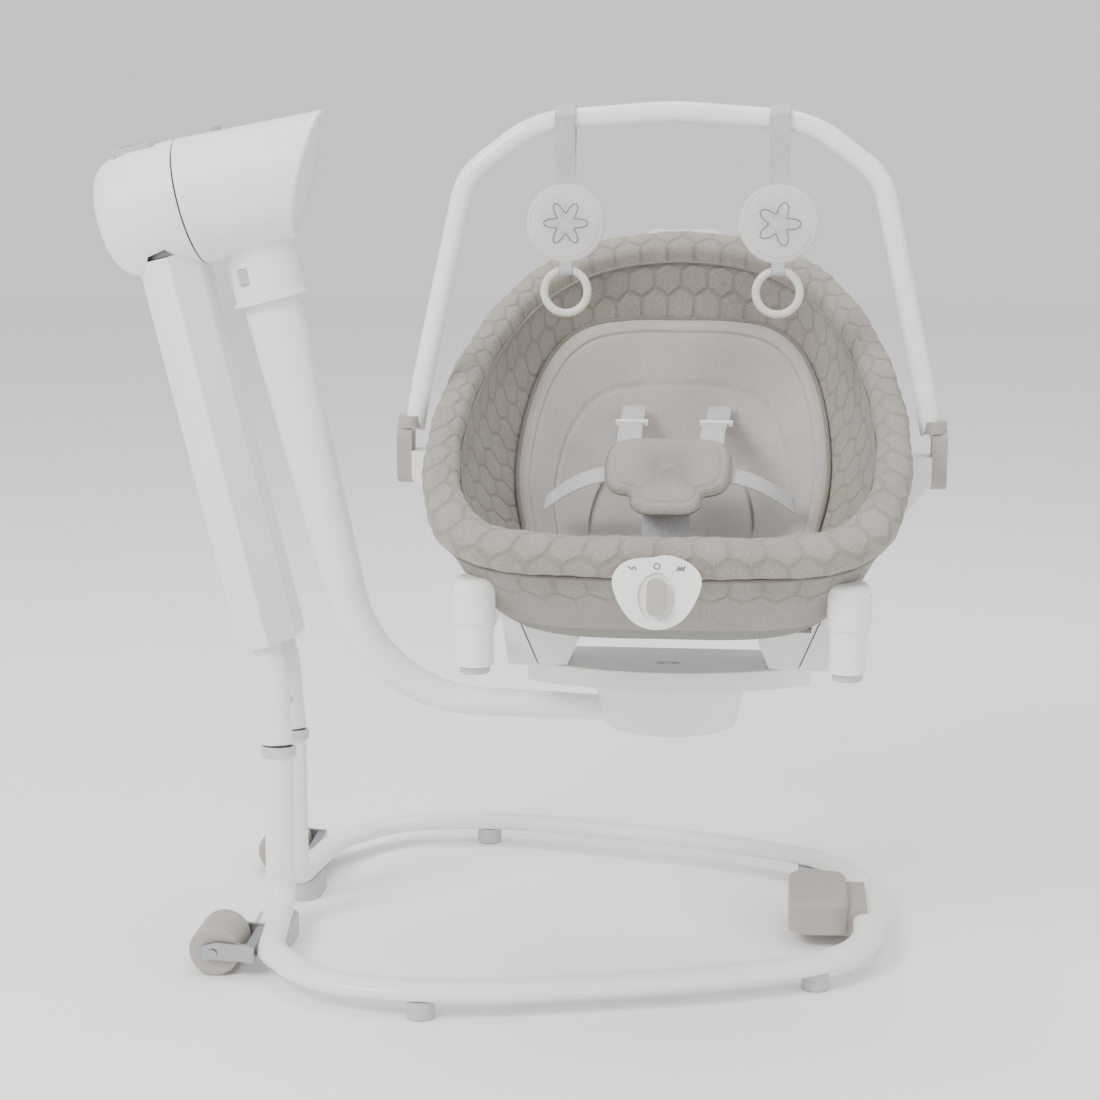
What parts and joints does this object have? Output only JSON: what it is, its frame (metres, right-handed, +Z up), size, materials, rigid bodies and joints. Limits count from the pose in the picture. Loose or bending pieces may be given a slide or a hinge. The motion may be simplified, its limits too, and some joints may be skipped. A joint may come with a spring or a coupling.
{
  "type": "baby swing",
  "caption": "Baby swing with a looped tube stand, a drive head on a leaning column, a swinging arm and a lift-off padded rocker seat with a toy bar.",
  "frame": {"origin": "middle of the footprint, on the floor", "axes": "+Z up, +X from the column towards the seat, -Y the way the seat faces at rest"},
  "size_m": [0.8776, 0.637, 0.8737],
  "materials": {
    "white_tube": "satin powder coat",
    "white_plastic": "fine satin moulding",
    "grey_plastic": "satin",
    "grey_rubber": "soft matt",
    "taupe_plastic": "fine matt moulding",
    "taupe_fabric": "melange plain weave",
    "greige_fabric": "soft jersey",
    "webbing": "flat woven webbing",
    "toy_fabric": "soft plush",
    "ring_plastic": "satin",
    "steel": "machined",
    "copper": "wound wire",
    "board": "coated board"
  },
  "bodies": {
    "stand": {"base_tube": "white_tube", "base_feet": "grey_rubber", "tube_collars": "grey_plastic", "roller_forks_and_axles": "steel", "front_block": "taupe_plastic", "upper_tubes": "white_tube", "head_shell": "white_plastic", "control_panel": "grey_plastic", "column_rear_cover": "white_plastic", "column_front_cover": "white_plastic", "bearing_block": "steel", "bearings": "steel", "drive_coil": "copper", "control_board": "board"},
    "snap_button_near": {"snap_button_near": "grey_plastic"},
    "snap_button_far": {"snap_button_far": "grey_plastic"},
    "power_button": {"power_button": "grey_plastic"},
    "speed_button": {"speed_button": "grey_plastic"},
    "roller_near": {"roller_near": "taupe_plastic"},
    "roller_far": {"roller_far": "taupe_plastic"},
    "swing_arm": {"rotor_shell": "white_plastic", "rotor_end_cap": "white_plastic", "arm_socket": "white_plastic", "arm_tube": "white_tube", "hub_cup": "white_plastic", "sway_shaft": "steel", "rotor_hub": "steel", "drive_magnet": "steel"},
    "socket_button": {"socket_button": "grey_plastic"},
    "lock_button": {"lock_button": "grey_plastic"},
    "carrier": {"carrier_plate": "white_plastic", "swivel_post": "steel", "docks": "white_plastic", "plate_screw": "steel"},
    "seat": {"seat_cover": "taupe_fabric", "rim_tube": "steel", "body_pad": "greige_fabric", "tummy_pad": "taupe_fabric", "harness_straps": "webbing", "strap_sliders": "white_plastic", "seat_legs": "white_tube", "glide_feet": "grey_rubber", "leg_sockets": "white_plastic", "seat_frame_tube": "white_tube", "runner_tube": "white_tube", "seat_mounts": "white_plastic", "back_handle": "white_plastic", "side_brackets": "white_plastic", "unit_housing": "white_plastic", "unit_back_cover": "grey_plastic", "vibration_motor_and_cell": "board"},
    "vibration_knob": {"vibration_knob": "taupe_plastic"},
    "toy_bar": {"toy_bar_tube": "white_tube", "toy_bar_ends": "taupe_plastic"},
    "toy_left": {"toy_straps_left": "webbing", "toy_disc_left": "toy_fabric"},
    "toy_right": {"toy_straps_right": "webbing", "toy_disc_right": "toy_fabric"},
    "ring_left": {"toy_ring_left": "ring_plastic"},
    "ring_right": {"toy_ring_right": "ring_plastic"}
  },
  "joints": [
    {"name": "sway", "type": "hinge", "parent": "stand", "child": "swing_arm", "pos_m": [-0.2147, 0.0205, 0.802], "axis": [0.9728, 0, 0.2317], "range_deg": [-15, 15]},
    {"name": "seat_swivel", "type": "hinge", "parent": "swing_arm", "child": "carrier", "pos_m": [0.1613, 0.0205, 0.28], "axis": [0, 0, 1], "range_deg": [0, 180]},
    {"name": "seat_lift_off", "type": "slide", "parent": "carrier", "child": "seat", "axis": [0, 0, 1], "range_m": [0, 0.3]},
    {"name": "toy_bar_tilt", "type": "hinge", "parent": "seat", "child": "toy_bar", "pos_m": [0.1613, -0.0395, 0.512], "axis": [1, 0, 0], "range_deg": [-10, 60]},
    {"name": "toy_left_swing", "type": "hinge", "parent": "toy_bar", "child": "toy_left", "pos_m": [0.0553, -0.0395, 0.8562], "axis": [1, 0, 0], "range_deg": [-25, 25]},
    {"name": "toy_right_swing", "type": "hinge", "parent": "toy_bar", "child": "toy_right", "pos_m": [0.2673, -0.0395, 0.8562], "axis": [1, 0, 0], "range_deg": [-25, 25]},
    {"name": "ring_left_swing", "type": "hinge", "parent": "toy_left", "child": "ring_left", "pos_m": [0.0553, -0.0395, 0.708], "axis": [1, 0, 0], "range_deg": [-30, 30]},
    {"name": "ring_right_swing", "type": "hinge", "parent": "toy_right", "child": "ring_right", "pos_m": [0.2673, -0.0395, 0.708], "axis": [1, 0, 0], "range_deg": [-30, 30]},
    {"name": "vibration_knob_turn", "type": "hinge", "parent": "seat", "child": "vibration_knob", "pos_m": [0.1613, -0.30552, 0.42805], "axis": [0, -0.9848, 0.1736], "range_deg": [-35, 35]},
    {"name": "roller_near_spin", "type": "hinge", "parent": "stand", "child": "roller_near", "pos_m": [-0.2907, -0.1445, 0.026], "axis": [0, 1, 0], "continuous": true},
    {"name": "roller_far_spin", "type": "hinge", "parent": "stand", "child": "roller_far", "pos_m": [-0.2907, 0.1855, 0.026], "axis": [0, 1, 0], "continuous": true},
    {"name": "power_button_press", "type": "slide", "parent": "stand", "child": "power_button", "axis": [0.2317, 0, -0.9728], "range_m": [0, 0.0015], "stiffness_N_per_m": 300, "springref_m": -0.001},
    {"name": "speed_button_press", "type": "slide", "parent": "stand", "child": "speed_button", "axis": [0.2317, 0, -0.9728], "range_m": [0, 0.0015], "stiffness_N_per_m": 300, "springref_m": -0.001},
    {"name": "snap_button_near_press", "type": "slide", "parent": "stand", "child": "snap_button_near", "axis": [0, -1, 0], "range_m": [0, 0.002], "stiffness_N_per_m": 300, "springref_m": -0.001},
    {"name": "snap_button_far_press", "type": "slide", "parent": "stand", "child": "snap_button_far", "axis": [0, 1, 0], "range_m": [0, 0.002], "stiffness_N_per_m": 300, "springref_m": -0.001},
    {"name": "socket_button_press", "type": "slide", "parent": "swing_arm", "child": "socket_button", "axis": [0, 1, 0], "range_m": [0, 0.0012], "stiffness_N_per_m": 300, "springref_m": -0.001},
    {"name": "lock_button_press", "type": "slide", "parent": "swing_arm", "child": "lock_button", "axis": [0.2317, 0, -0.9728], "range_m": [0, 0.0015], "stiffness_N_per_m": 300, "springref_m": -0.001}
  ]
}
